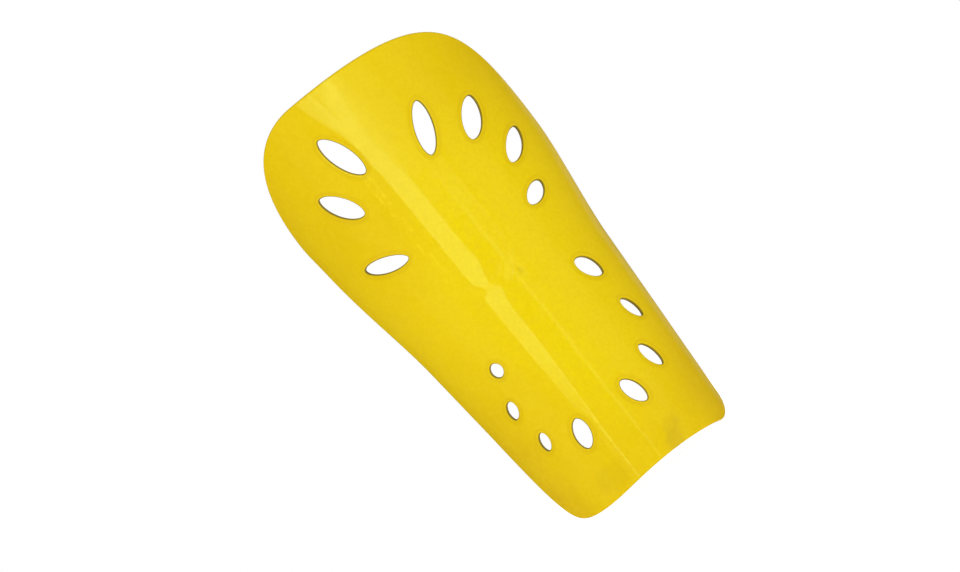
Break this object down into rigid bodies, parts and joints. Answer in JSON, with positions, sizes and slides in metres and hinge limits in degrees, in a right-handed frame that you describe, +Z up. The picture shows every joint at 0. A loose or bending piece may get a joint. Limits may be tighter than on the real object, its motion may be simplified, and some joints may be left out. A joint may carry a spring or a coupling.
{
  "type": "shin guard",
  "caption": "Curved slip-in football shin guard: a vented yellow plastic shell with a flat spine, lined with a foam pad faced in knitted fabric.",
  "frame": {"origin": "the middle of the lining's inner face, on the flat of the spine at half height, where the guard lies on the shin", "axes": "upright as worn: +Z up the leg towards the knee, +Y towards the shin, so the convex front faces -Y, and X across the leg"},
  "size_m": [0.1134, 0.0453, 0.2201],
  "materials": {
    "shell_plastic": "glossy moulded polypropylene with faint orange peel",
    "foam": "matt closed-cell EVA foam",
    "lining": "brushed tricot knit"
  },
  "bodies": {
    "root": {"shell": "shell_plastic", "foam_liner": "foam", "lining_fabric": "lining"}
  },
  "joints": []
}
